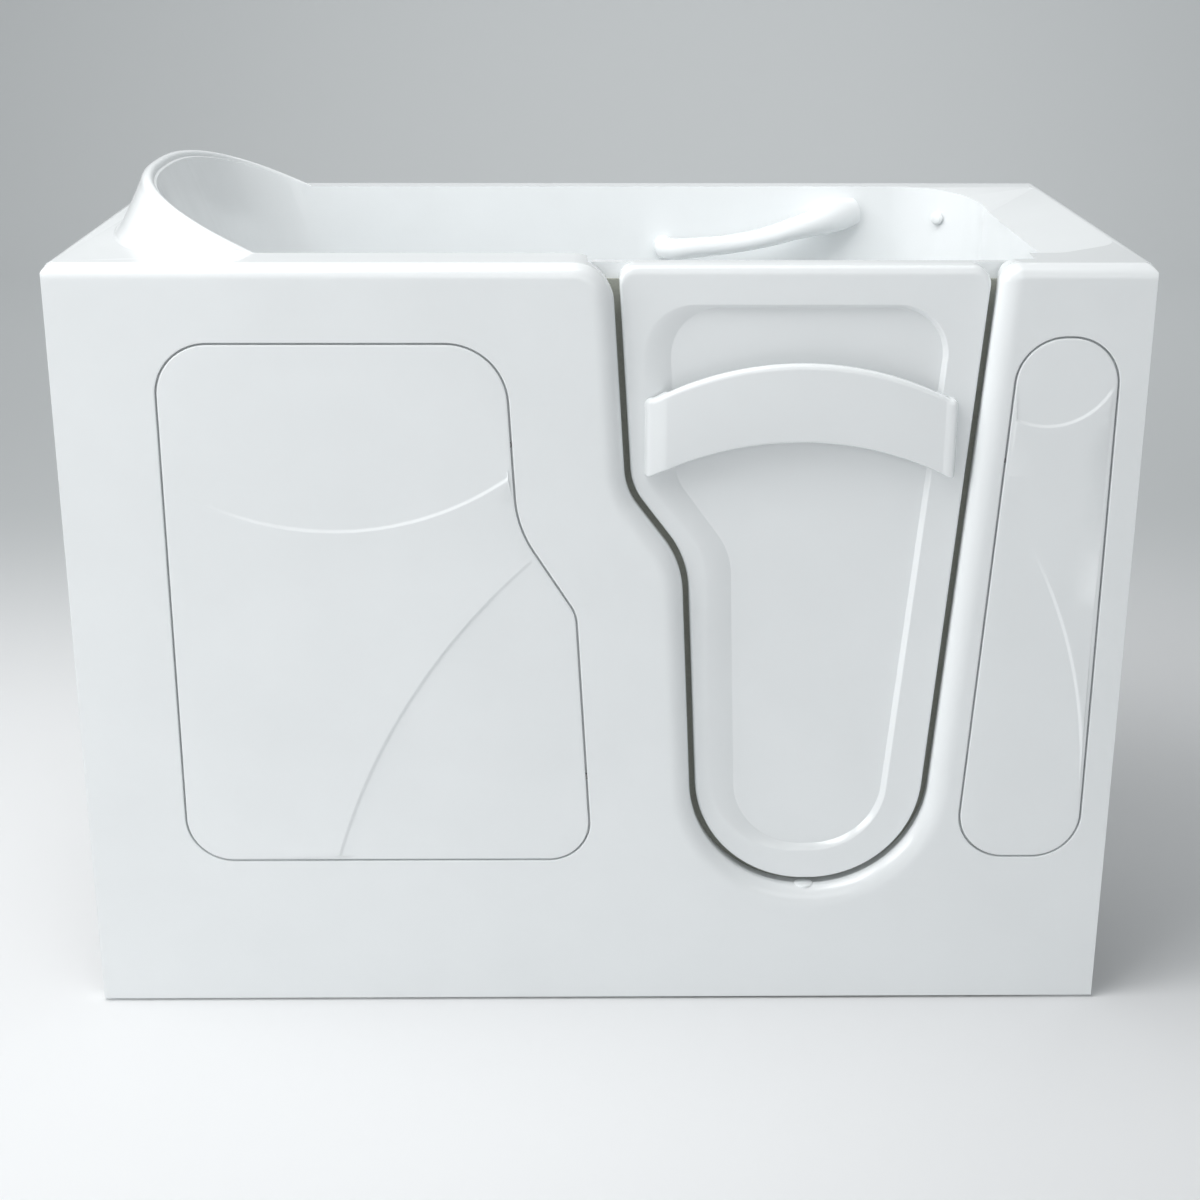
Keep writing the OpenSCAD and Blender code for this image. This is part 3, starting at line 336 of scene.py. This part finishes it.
# the shares of the roll's width that it has along the deck and at the tub's two ends
DECK_SHARE, OUTER_END_SHARE, INNER_END_SHARE = 0.7, 0.06, 0.45
DECK_ROUND, DOORWAY_LEFT_ROUND, DOORWAY_RIGHT_ROUND, BELOW_FLOOR = 12, 48, 24, -60
# (inset, depth) steps of the apron's inner side, from its back edge to behind its flat
APRON_INSIDE = [(0, APRON_DEPTH), (6.9, APRON_DEPTH), (7, 14), (9, 9.5), (13, 7), (24, 5), (25.5, 5)]
# (inset, depth) steps of a panel's opening: its soft edge, the ledge under the panel, its back
OPENING_EDGE = [(-4.5, 0), (-3.5, 0.05), (-2.8, 0.4), (-2.5, 1), (-2.5, 9), (0.6, 9), (0.6, 5),
                (12, 5), (12, 9.5), (-10, 9.5), (-10, 5), (-11, 5)]


def apron_outline(d, end_share):
    """The apron's edge drawn in by d round the doorway, and by shares of d at the deck and ends.

    It runs on below the floor gap, where the piece is cut off.
    """
    into = d - ROLL_OVERHANG
    end, top = into - end_share * d, DECK + into - DECK_SHARE * d
    corners = [(-end, BELOW_FLOOR, 0), (LENGTH + end, BELOW_FLOOR, 0), (LENGTH + end, top, DECK_ROUND)]
    corners += doorway(top, DOORWAY_LEFT_ROUND, DOORWAY_RIGHT_ROUND)[::-1] + [(-end, top, DECK_ROUND)]
    return rounded(inset(corners, into), arc_steps(corners))


def front_apron():
    """The apron with the doorway's rolled edge and an opening for each access panel."""
    shape = Moulding()
    rolled = [(0, APRON_DEPTH)] + quarter_round(ROLL_WIDTH, ROLL_DEPTH, 14) + [(ROLL_WIDTH + 1.2, 0)]
    front = shape.run([shape.outline(apron_outline(d, OUTER_END_SHARE), y) for d, y in rolled])
    inside = shape.run([shape.outline(apron_outline(d, INNER_END_SHARE), y) for d, y in APRON_INSIDE])
    openings, backs = [], []
    for panel in (LEFT_PANEL, RIGHT_PANEL):
        steps = arc_steps(panel)
        rings = shape.run([shape.outline(rounded(inset(panel, d), steps), y) for d, y in OPENING_EDGE])
        openings.append(rings[0])
        backs.append(rings[-1])
    shape.fill(front[-1], *openings)
    shape.fill(inside[-1], *backs)
    level_flats(shape.piece("moulded_front_apron", "front_apron", "tub", cut_below=FLOOR_GAP))


front_apron()

# ---- Access panels with their sculpted creases ----

# each crease follows a circle: its centre's x and z, and its radius
LEFT_UPPER, LEFT_LOWER = (340, 1049, 379), (1186, -30, 892)
RIGHT_UPPER, RIGHT_LOWER = (1224, 892, 87), (601, 308, 703)
CREASE_WIDTH, CREASE_SPACING, GRID_SPACING, GRID_FOOT, GRID_ROWS, LEAST_GAP = 5, 4, 30, 230, 23, 0.9
# rows of points beside a crease, by their distance from it
CREASE_ROWS = (-22, -10, -5, -3.2, -2.4, -1.6, -0.8, 0, 0.8, 1.6, 2.4, 3.2, 5, 10, 22)
FACE_INSET, RELIEF_INSET, RELIEF_FADE = 2.2, 5, 14
# (inset, depth) steps of a panel's edge, from its back to its face
PANEL_EDGE = [(0.9, 4.7), (0, 4.7), (0, 1.1), (0.25, 0.45), (0.9, 0.08), (FACE_INSET, 0)]


def eased(t):
    """0 up to t = 0 and 1 from t = 1 on, with a soft rise between them."""
    t = min(1.0, max(0.0, t))
    return t * t * (3 - 2 * t)


def crease(x, z, circle, height, spread):
    """A swelling that grows towards a circle from outside it and drops at it."""
    centre_x, centre_z, radius = circle
    away = math.hypot(x - centre_x, z - centre_z) - radius
    return height * eased(away / CREASE_WIDTH + 0.5) * math.exp(-max(0.0, away) / spread)


def left_relief(x, z):
    """The left panel's creases, one fading in from its left side and one from its upper part."""
    upper = eased((x - 130) / 170) * crease(x, z, LEFT_UPPER, 2.2, 90)
    lower = eased((700 - z) / 160) * crease(x, z, LEFT_LOWER, 2.0, 90)
    return upper + lower


def right_relief(x, z):
    """The right panel's creases, a whole one and one that fades out at both its ends."""
    upper = crease(x, z, RIGHT_UPPER, 1.4, 60)
    lower = eased((660 - z) / 110) * eased((z - 300) / 130) * crease(x, z, RIGHT_LOWER, 2.0, 30)
    return upper + lower


def is_within(outline, x, z):
    """Whether a point lies inside an outline."""
    odd = False
    for a, b in zip(outline, outline[1:] + outline[:1]):
        if (a.y > z) != (b.y > z) and x < a.x + (z - a.y) * (b.x - a.x) / (b.y - a.y):
            odd = not odd
    return odd


def edge_distance(p, border):
    """How far a point is from the nearest point of a border."""
    return min((Vector(q) - p).length for q in border)


def relief_points(border, circles):
    """Points for a panel's face: rows close together beside each crease, and a wide grid."""
    points = []
    for centre_x, centre_z, radius in circles:
        count = round(2 * math.pi * radius / CREASE_SPACING)
        for away in CREASE_ROWS:
            points += [(centre_x + (radius + away) * math.cos(t), centre_z + (radius + away) * math.sin(t))
                       for t in [2 * math.pi * k / count for k in range(count)]]
    low_x, high_x = min(p[0] for p in border), max(p[0] for p in border)
    return points + [(low_x + GRID_SPACING * i, GRID_FOOT + GRID_SPACING * k)
                     for i in range(int((high_x - low_x) / GRID_SPACING) + 1) for k in range(GRID_ROWS)]


def access_panel(name, node, body, corners, relief, circles):
    """A thin panel whose face follows its relief, which dies away towards the panel's edge."""
    steps = arc_steps(corners)
    shape = Moulding()
    rings = shape.run([shape.outline(rounded(inset(corners, d), steps), y) for d, y in PANEL_EDGE])
    shape.fill(rings[0])
    border = rounded(inset(corners, FACE_INSET), steps)
    safe = [Vector(p) for p in rounded(inset(corners, RELIEF_INSET), steps)]
    inner = [p for p in relief_points(border, circles) if is_within(safe, *p)]
    sides = [(i, (i + 1) % len(border)) for i in range(len(border))]
    only_inside = 1
    spots, _, faces, _, _, _ = delaunay_2d_cdt(
        [Vector(p) for p in border + inner], sides, [], only_inside, LEAST_GAP)
    face_ring = shape.ring([(p.x, -relief(p.x, p.y) * eased(edge_distance(p, border) / RELIEF_FADE), p.y)
                            for p in spots])
    shape.faces += [tuple(face_ring[i] for i in face) for face in faces]
    shape.piece(name, node, body)


access_panel("moulded_left_access_panel", "left_access_panel", "left_panel", LEFT_PANEL, left_relief,
             [LEFT_UPPER, LEFT_LOWER])
access_panel("moulded_right_access_panel", "right_access_panel", "right_panel", RIGHT_PANEL,
             right_relief, [RIGHT_UPPER, RIGHT_LOWER])

# ---- Door ----

# the sunken panel's flat, and the shoulder from which its slope falls
SUNKEN = [(DOOR_X - 193, 948, 60), (DOOR_X - 181, 730, 60), (DOOR_X - 110, 632, 90),
          (DOOR_X - 96, 221, 92), (DOOR_X + 92, 221, 92), (DOOR_X + 153, 948, 60)]
SHOULDER = [(DOOR_X - 222, 953, 62), (DOOR_X - 222, 732, 70), (DOOR_X - 142, 634, 98),
            (DOOR_X - 130, 212, 118), (DOOR_X + 97, 215, 98), (DOOR_X + 158, 953, 64)]
DOOR_GAP, TOP_SHARE, TOP_LEFT_ROUND, TOP_RIGHT_ROUND = 10.0, 2.4, 30, 33
EDGE_WIDTH, EDGE_DEPTH, DOOR_DEPTH, FOAM_DEPTH, SINK = 3.5, 7, 28, 10.5, 7.5
# shares of the way down the slope, close together where it bends
SLOPE_SHARES = (-0.05, 0, 0.06, 0.14, 0.26, 0.4, 0.55, 0.7, 0.82, 0.91, 0.97, 1, 1.03)


def door_outline(d):
    """The door's edge drawn in by d; its top edge is drawn in further, for a broader round."""
    corners = doorway(DOOR_TOP + DOOR_GAP - TOP_SHARE * d, TOP_LEFT_ROUND, TOP_RIGHT_ROUND)
    steps = arc_steps(doorway(DOOR_TOP, TOP_LEFT_ROUND, TOP_RIGHT_ROUND))
    return rounded(inset(corners, DOOR_GAP + d), steps)


def door_face():
    """The door's outer skin, with its round edge and its sunken panel."""
    shape = Moulding()
    profile = [(EDGE_WIDTH, DOOR_DEPTH), (0, DOOR_DEPTH)] + quarter_round(EDGE_WIDTH, EDGE_DEPTH, 9)
    profile += [(EDGE_WIDTH + 0.9, 0)]
    edge = shape.run([shape.outline(door_outline(d), DOOR_FACE + y) for d, y in profile])
    foam_side = shape.run([edge[0], shape.outline(door_outline(EDGE_WIDTH), DOOR_FACE + FOAM_DEPTH)])
    shape.fill(foam_side[-1])
    steps = arc_steps(SUNKEN)
    low, high = rounded(inset(SUNKEN, 1), steps), rounded(SHOULDER, steps)
    slope = []
    for t in SLOPE_SHARES:
        points = [(a[0] + (b[0] - a[0]) * t, a[1] + (b[1] - a[1]) * t) for a, b in zip(high, low)]
        fall = min(1.0, max(0.0, t))
        slope.append(shape.outline(points, DOOR_FACE + SINK * fall ** 1.35))
    shape.run(slope)
    shape.fill(edge[-1], slope[0])
    shape.fill(slope[-1])
    shape.piece("moulded_door_face", "door_outer_skin", "door")


door_face()

# ---- Band handle: a curved strap, turned back to the door at both ends ----

BAND_LEFT, BAND_RIGHT, BAND_LOW, BAND_HIGH = DOOR_X - 221, DOOR_X + 168, 739.0, 837.0
HALF_CHORD, LOW_RISE, HIGH_RISE, HIGH_LEVEL, LOW_ROUND, HIGH_ROUND = 183, 44, 45, 12, 9, 10
BOW_MIDDLE, BOW_HALF, BOW_FRONT, BOW_DEPTH = 921, 195, 2.2, 2.5
# how much of each end leans back, how much of that turns to the door, and what meets the door
LEFT_END, RIGHT_END, LEFT_TURN, RIGHT_TURN, FOOT = 28, 17, 7, 5, 28
BAND_WALL, BAND_SOFT, LOW_SOFT, HIGH_SOFT = 9, 6.5, 3.5, 7


def arch(x, z, rise, level=0):
    """Height of an arc that stands `rise` above z in the middle, running level over its last part."""
    radius = (HALF_CHORD * HALF_CHORD + rise * rise) / (2 * rise)
    off = min((BAND_RIGHT - BAND_LEFT) / 2 - level, abs(x - (BAND_LEFT + BAND_RIGHT) / 2))
    return z + rise - radius + math.sqrt(radius * radius - off * off)


def corner_cut(x, radius):
    """How far a corner's round takes a long edge back at x."""
    into = max(0.0, radius - min(x - BAND_LEFT, BAND_RIGHT - x))
    return radius - math.sqrt(max(0.0, radius * radius - into * into))


def strap_front(x):
    """Depth of the strap's face: a shallow bow, a broad turned-back left end and a narrow right one."""
    left = max(0.0, BAND_LEFT + LEFT_END - x) / LEFT_END
    right = max(0.0, x - BAND_RIGHT + RIGHT_END) / RIGHT_END
    turn = max(0.0, BAND_LEFT + LEFT_TURN - x, x - BAND_RIGHT + RIGHT_TURN)
    turn /= LEFT_TURN if x < DOOR_X else RIGHT_TURN
    back = 8 * left ** 1.3 - 1.2 * math.sin(math.pi * min(1.0, right)) * (x > DOOR_X)
    bow = BOW_FRONT + BOW_DEPTH * ((x - BOW_MIDDLE) / BOW_HALF) ** 2
    return min(DOOR_FACE - 0.3,
               bow + back + (DOOR_FACE - 3) * (1 - math.sqrt(max(0.0, 1 - turn * turn))))


def strap_stations():
    """Where the strap has its sections: close together at its ends, wide apart between them."""
    close, wide = 1.5, 8
    stations = [BAND_LEFT + 10 * (1 - math.cos(a)) for a in turns(7.5, 13)]
    stations += [BAND_LEFT + 10 + close * k for k in range(1, 14)]
    stations += [BAND_LEFT + 30 + wide * k for k in range(1, 42)]
    stations += [BAND_RIGHT - RIGHT_TURN - close * (12 - k) for k in range(12)]
    return stations + [BAND_RIGHT - RIGHT_TURN * (1 - math.sin(a)) for a in turns(9, 11)]


def band_handle():
    """The strap, in sections from its left end to its right end."""
    shape = Moulding()
    rings = []
    for x in strap_stations():
        low = arch(x, BAND_LOW, LOW_RISE) + corner_cut(x, LOW_ROUND)
        high = arch(x, BAND_HIGH, HIGH_RISE, HIGH_LEVEL) - corner_cut(x, HIGH_ROUND)
        face = strap_front(x)
        inner = DOOR_FACE if x < BAND_LEFT + FOOT or x > BAND_RIGHT - FOOT else face + BAND_WALL
        soft = min(BAND_SOFT, inner - face)
        section = [(inner, low)]
        section += [(face + 0.7 * soft * (1 - math.sin(a)), low + LOW_SOFT * (1 - math.cos(a)))
                    for a in turns(15, 7)]
        section += [(face + soft * (1 - math.cos(a)), high - HIGH_SOFT * (1 - math.sin(a)))
                    for a in turns(11.25, 9)]
        section += [(inner, high), (inner, (low + high) / 2)]
        rings.append(shape.ring([(x, y, z) for y, z in section]))
    shape.closed_run(rings)
    shape.piece("moulded_band_handle", "band_handle", "door", ROUND_SPLIT)


band_handle()

# ---- Grab bar ----

# the bar's middle line and its radius there, from its flared right foot to its left one
GRAB_LINE = [
    (DOOR_X + 112, INNER_WALL + 8, 966, 22), (DOOR_X + 92, INNER_WALL - 6, 963, 24),
    (DOOR_X + 70, INNER_WALL - 22, 959, 22.5), (DOOR_X + 44, INNER_WALL - 35, 953.5, 19),
    (DOOR_X + 14, INNER_WALL - 43, 946, 16.5), (DOOR_X - 20, INNER_WALL - 45, 936, 14.8),
    (DOOR_X - 70, INNER_WALL - 45, 926, 14), (DOOR_X - 126, INNER_WALL - 44, 920, 14.8),
    (DOOR_X - 156, INNER_WALL - 38, 917, 15.6), (DOOR_X - 170, INNER_WALL - 20, 915.5, 16),
    (DOOR_X - 171, INNER_WALL + 2, 915.5, 16)]
STOPS_BETWEEN = 8


def along_curve(line, i, t):
    """A point between points i and i + 1 of a line, on a smooth curve through all of them."""
    a, b, c, d = [Vector(line[min(max(k, 0), len(line) - 1)]) for k in (i - 1, i, i + 1, i + 2)]
    return 0.5 * (2 * b + (c - a) * t + (2 * a - 5 * b + 4 * c - d) * t * t
                  + (3 * b - a - 3 * c + d) * t ** 3)


def grab_bar():
    """The bar, a round section carried along its middle line without twisting."""
    shape = Moulding()
    stops = [along_curve(GRAB_LINE, i, k / STOPS_BETWEEN)
             for i in range(len(GRAB_LINE) - 1) for k in range(STOPS_BETWEEN)] + [Vector(GRAB_LINE[-1])]
    rings, side = [], Vector((0, 0, 1))
    for i, stop in enumerate(stops):
        ahead = (stops[min(i + 1, len(stops) - 1)] - stops[max(i - 1, 0)]).to_3d().normalized()
        side = (side - ahead * side.dot(ahead)).normalized()
        other = ahead.cross(side)
        rings.append(shape.ring([stop.to_3d() + stop.w * (side * math.cos(t) + other * math.sin(t))
                                 for t in turns(10, 36)]))
    shape.closed_run(rings)
    shape.piece("moulded_grab_bar", "grab_bar", "tub", BAR_SPLIT)


grab_bar()

# ---- Cap on the threshold ----

CAP_Y = 23
# (radius, height) steps of the cap, from its foot to its nearly flat top
CAP_PROFILE = [(12.6, 162.2), (13, 164.6), (12.7, 165.2), (11.8, 165.7), (9, 166.1), (4, 166.4)]


def threshold_cap():
    """The low round cap in the middle of the threshold."""
    shape = Moulding()
    shape.closed_run([shape.ring([(DOOR_X + radius * math.cos(t), CAP_Y + radius * math.sin(t), height)
                                  for t in turns(12, 30)]) for radius, height in CAP_PROFILE])
    shape.piece("moulded_threshold_cap", "threshold_cap", "tub", ROUND_SPLIT)


threshold_cap()

# ---- Overflow button, in the basin's round back corner at the foot end ----

FOOT_DECK, CORNER_RADIUS, BUTTON_HEIGHT, BUTTON_TURN = 109, 125, 962, math.radians(53)
# (radius, distance from the corner's centre) steps, from the button's stem to its domed front
BUTTON_PROFILE = [(6, 133), (6, 123), (9.4, 123), (9.6, 121), (9, 119.3), (7.5, 118.2), (5, 117.5),
                  (2.5, 117.2)]


def overflow_button():
    """The domed button, which faces the centre of the corner that it sits in."""
    shape = Moulding()
    centre = Vector((LENGTH - FOOT_DECK - CORNER_RADIUS, INNER_WALL - CORNER_RADIUS, BUTTON_HEIGHT))
    out = Vector((math.cos(BUTTON_TURN), math.sin(BUTTON_TURN), 0))
    along, upward = Vector((-out.y, out.x, 0)), Vector((0, 0, 1))
    shape.closed_run([
        shape.ring([centre + out * reach + radius * (along * math.cos(t) + upward * math.sin(t))
                    for t in turns(12, 30)]) for radius, reach in BUTTON_PROFILE])
    shape.piece("domed_overflow_button", "overflow_cover", "tub", ROUND_SPLIT)


overflow_button()

# ---- Backdrop ----

FLOOR_FRONT, WALL_Y, SWEEP, HALF, TALL = -24.0, 6.5, 1.6, 20.0, 6.0
# where the floor's pale paper is painted greyer behind the tub, as painted shade where the light falls
# off, and across what that painted grey darkens to the left as painted shade
FADE_FROM, FADE_TO, GREY_LEFT, GREY_RIGHT = 0.5, 2.0, -1.6, 1.2


def paper_with_painted_falloff():
    """Matt studio paper, pale on the floor round the tub, with painted shade: grey behind it and up the
    wall, and darker to the left.
    """
    material, tree, shader = new_material("backdrop_paper", {"Roughness": 0.9, "IOR": 1.3})
    spot = add(tree, "ShaderNodeTexCoord")
    parts = add(tree, "ShaderNodeSeparateXYZ", None, {"Vector": (spot, "Object")})
    depth = add(tree, "ShaderNodeMapRange", {"interpolation_type": "SMOOTHSTEP"}, {
        "Value": (parts, "Y"), "From Min": FADE_FROM, "From Max": FADE_TO})
    aside = add(tree, "ShaderNodeMapRange", None, {
        "Value": (parts, "X"), "From Min": GREY_LEFT, "From Max": GREY_RIGHT})
    # painted shade: the grey behind the tub is darker on the left, where less light falls on the wall
    greys = add(tree, "ShaderNodeValToRGB", None, {"Fac": (aside, "Result")})
    left, right = greys.color_ramp.elements
    left.color, right.color = linear("#cacdce"), linear("#d2d5d6")
    # the mix node's sockets for colours share their names with others, so they go by number
    factor_in, pale_in, grey_in, mixed_out = 0, 6, 7, 2
    paper = add(tree, "ShaderNodeMix", {"data_type": "RGBA"}, {
        factor_in: (depth, "Result"), pale_in: linear("#eeeff0"), grey_in: (greys, "Color")})
    tree.links.new(paper.outputs[mixed_out], shader.inputs["Base Color"])
    return material


def backdrop():
    """Floor and wall in one sheet, with a wide round sweep between them."""
    profile = [(FLOOR_FRONT, 0.0), (WALL_Y - SWEEP, 0.0)]
    profile += [(WALL_Y - SWEEP + SWEEP * math.sin(a), SWEEP - SWEEP * math.cos(a))
                for a in turns(6, 16)[1:]]
    profile += [(WALL_Y, TALL)]
    mesh = bpy.data.meshes.new("backdrop")
    mesh.from_pydata([(x, y, z) for y, z in profile for x in (-HALF, HALF)], [],
                     [(2 * i, 2 * i + 1, 2 * i + 3, 2 * i + 2) for i in range(len(profile) - 1)])
    mesh.materials.append(paper_with_painted_falloff())
    for polygon in mesh.polygons:
        polygon.use_smooth = True
    piece = bpy.data.objects.new("backdrop", mesh)
    bpy.context.scene.collection.objects.link(piece)


backdrop()

# ---- Light ----


def softbox(name, place, target, size, watts, spread_degrees=180):
    """A softbox; a small spread is a grid before it, which keeps light off what is beside the target."""
    data = bpy.data.lights.new(name, "AREA")
    data.shape, data.size, data.size_y, data.energy = "RECTANGLE", size[0], size[1], watts
    data.spread = math.radians(spread_degrees)
    lamp = bpy.data.objects.new(name, data)
    lamp.location = place
    lamp.rotation_mode = "QUATERNION"
    lamp.rotation_quaternion = (Vector(target) - Vector(place)).to_track_quat("-Z", "Y")
    bpy.context.scene.collection.objects.link(lamp)


softbox("overhead_softbox", (-1.1, -0.75, 3.1), (0.1, 0.1, 0.6), (2.4, 2.0), 60)
softbox("left_softbox", (-3.2, -1.5, 1.9), (0.2, 0, 0.3), (1.8, 1.8), 36)
softbox("front_fill", (1.0, -5.0, 2.2), (0, 0, 0.5), (3.5, 2.0), 19)
softbox("basin_softbox", (0.48, -0.55, 2.3), (0.45, 0.28, 0.95), (0.9, 0.5), 0.64, 50)
softbox("wall_glow", (0.0, 4.0, 4.2), (0.0, 5.9, 0.6), (6.0, 1.4), 90)

world = bpy.data.worlds.new("studio_air")
world.use_nodes = True
bpy.context.scene.world = world
air = world.node_tree.nodes["Background"]
air.inputs["Color"].default_value, air.inputs["Strength"].default_value = linear("#e4e8ea"), 0.4
bpy.context.scene.view_settings.view_transform = "Standard"

# ---- Camera ----

CAMERA_PLACE, PITCH, YAW, ROLL = (-0.029, -2.73739, 1.43839), 0.335308, 0.011927, 0.002394
SENSOR_MM, LENS_MM, SHIFT_UP = 36, 60.023, -21 / 1200


def photo_camera():
    """The camera, from where the reference view is taken."""
    ahead = Vector((math.sin(YAW) * math.cos(PITCH), math.cos(YAW) * math.cos(PITCH), -math.sin(PITCH)))
    level = Vector((math.cos(YAW), -math.sin(YAW), 0))
    upright = level.cross(ahead)
    right = level * math.cos(ROLL) + upright * math.sin(ROLL)
    above = upright * math.cos(ROLL) - level * math.sin(ROLL)
    data = bpy.data.cameras.new("photo_camera")
    data.sensor_width, data.lens, data.shift_y = SENSOR_MM, LENS_MM, SHIFT_UP
    camera = bpy.data.objects.new("photo_camera", data)
    turned = Matrix((right, above, -ahead)).transposed().to_4x4()
    camera.matrix_world = Matrix.Translation(CAMERA_PLACE) @ turned
    bpy.context.scene.collection.objects.link(camera)
    bpy.context.scene.camera = camera


photo_camera()
